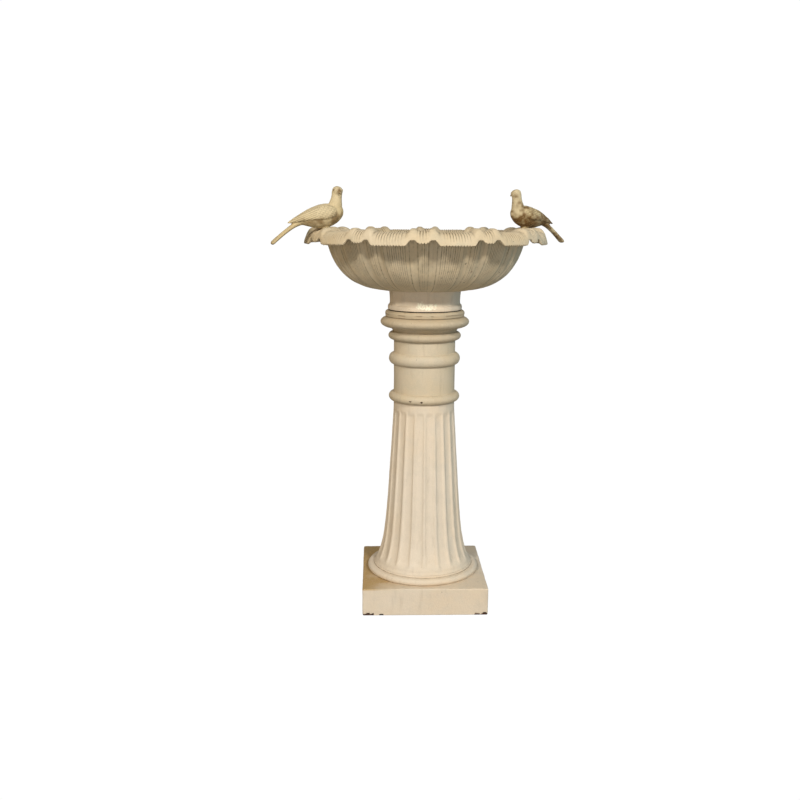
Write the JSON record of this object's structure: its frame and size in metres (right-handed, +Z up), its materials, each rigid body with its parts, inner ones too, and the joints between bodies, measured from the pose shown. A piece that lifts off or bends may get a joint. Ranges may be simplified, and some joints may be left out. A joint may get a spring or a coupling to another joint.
{
  "type": "bird bath",
  "caption": "Free-standing cast-iron bird bath: fluted column on a square plinth, shallow lift-off basin with a scalloped drooping rim, and doves perched on the rim.",
  "frame": {"origin": "middle of the plinth's underside, on the ground", "axes": "+Z up along the column; the plinth's sides lie along X and Y, and -Y is the side the viewer faces"},
  "size_m": [0.601, 0.492, 0.861],
  "materials": {
    "paint": "old cream paint over cast iron, matt",
    "basin_paint": "old cream paint over cast iron, matt, slightly greyer",
    "dove_paint": "yellowed and stained cream paint over cast iron",
    "steel": "dull zinc-coated steel",
    "seal": "matt black rubber"
  },
  "bodies": {
    "pedestal": {"plinth": "paint", "foot_ring": "paint", "fluted_shaft": "paint", "neck": "paint", "capital": "paint", "tie_rod": "steel", "lower_rod_plate": "steel", "lower_rod_nut": "steel", "upper_rod_washer": "steel", "upper_rod_nut": "steel", "bedding_washer": "seal"},
    "collar": {"basin_collar": "paint"},
    "basin": {"basin": "basin_paint"},
    "left_dove": {"left_dove": "dove_paint", "left_dove_stud": "steel", "left_dove_washer": "steel", "left_dove_nut": "steel"},
    "right_dove": {"right_dove": "dove_paint", "right_dove_stud": "steel", "right_dove_washer": "steel", "right_dove_nut": "steel"}
  },
  "joints": [
    {"name": "basin_turn", "type": "hinge", "parent": "pedestal", "child": "collar", "pos_m": [0, 0, 0.625], "axis": [0, 0, 1], "continuous": true},
    {"name": "basin_lift", "type": "slide", "parent": "collar", "child": "basin", "axis": [0, 0, 1], "range_m": [0, 0.06]},
    {"name": "left_dove_swivel", "type": "hinge", "parent": "basin", "child": "left_dove", "pos_m": [-0.1962, -0.09954, 0.78], "axis": [0, 0, 1], "range_deg": [-20, 20]},
    {"name": "right_dove_swivel", "type": "hinge", "parent": "basin", "child": "right_dove", "pos_m": [0.21039, 0.06432, 0.78], "axis": [0, 0, 1], "range_deg": [-20, 20]}
  ]
}
